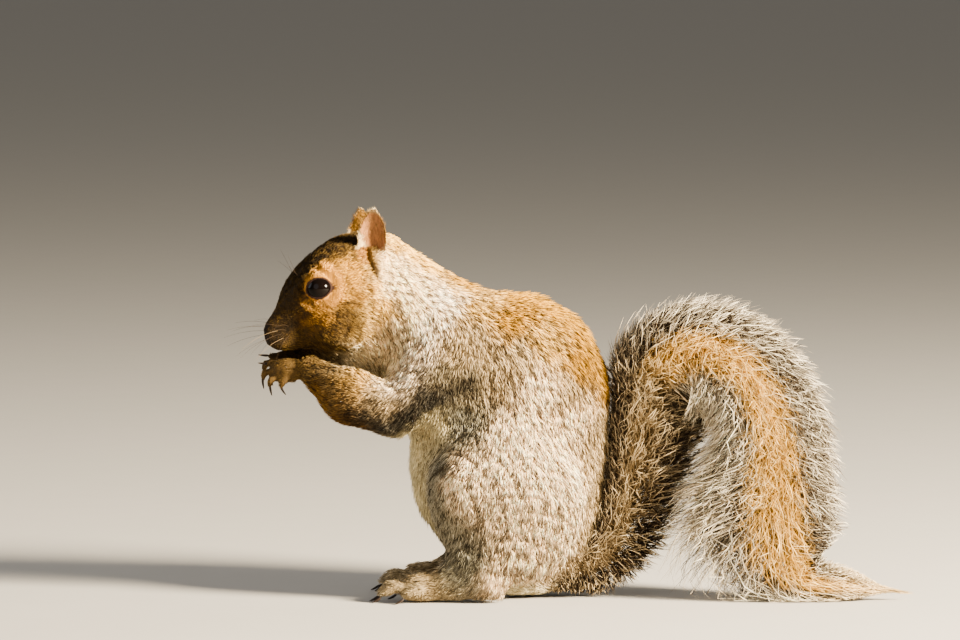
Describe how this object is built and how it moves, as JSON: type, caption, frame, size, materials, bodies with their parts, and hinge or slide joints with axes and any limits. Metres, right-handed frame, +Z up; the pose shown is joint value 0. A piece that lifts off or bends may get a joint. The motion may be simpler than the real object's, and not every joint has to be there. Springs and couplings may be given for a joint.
{
  "type": "grey squirrel",
  "caption": "Life-size grey squirrel sitting up on its haunches, forepaws held at its mouth and bushy tail arched up behind and down to the ground.",
  "frame": {"origin": "on the ground, below the middle of the animal's bounding box", "axes": "+Z up; the squirrel faces -X, its left side is towards -Y, and its tail is towards +X"},
  "size_m": [0.2894, 0.0874, 0.1726],
  "materials": {
    "coat_grizzled": "short dense fur, grey-cream flecked with dark brown",
    "coat_ochre": "very short sleek fur, ochre to russet",
    "coat_rust": "long loose fur, russet with a dark band and pale tips",
    "ear_skin": "thin matt skin under fine down",
    "eye": "wet gloss",
    "claw": "smooth horn"
  },
  "bodies": {
    "root": {"ear_left": "ear_skin", "ear_right": "ear_skin", "eye_left": "eye", "eye_right": "eye", "finger_claw_left_1": "claw", "finger_claw_left_2": "claw", "finger_claw_left_3": "claw", "finger_claw_left_4": "claw", "finger_claw_right_1": "claw", "finger_claw_right_2": "claw", "finger_claw_right_3": "claw", "finger_claw_right_4": "claw", "foot_left": "coat_ochre", "foot_right": "coat_ochre", "forearm_left": "coat_ochre", "forearm_right": "coat_ochre", "hand_left": "coat_ochre", "hand_right": "coat_ochre", "head": "coat_ochre", "lower_leg_left": "coat_grizzled", "lower_leg_right": "coat_grizzled", "neck": "coat_grizzled", "tail_base": "coat_grizzled", "tail_bend": "coat_rust", "tail_fall": "coat_rust", "tail_rise": "coat_grizzled", "tail_tip": "coat_grizzled", "thigh_left": "coat_grizzled", "thigh_right": "coat_grizzled", "toe_claw_left_1": "claw", "toe_claw_left_2": "claw", "toe_claw_left_3": "claw", "toe_claw_left_4": "claw", "toe_claw_left_5": "claw", "toe_claw_right_1": "claw", "toe_claw_right_2": "claw", "toe_claw_right_3": "claw", "toe_claw_right_4": "claw", "toe_claw_right_5": "claw", "trunk": "coat_grizzled", "upper_arm_left": "coat_grizzled", "upper_arm_right": "coat_grizzled"}
  },
  "joints": []
}
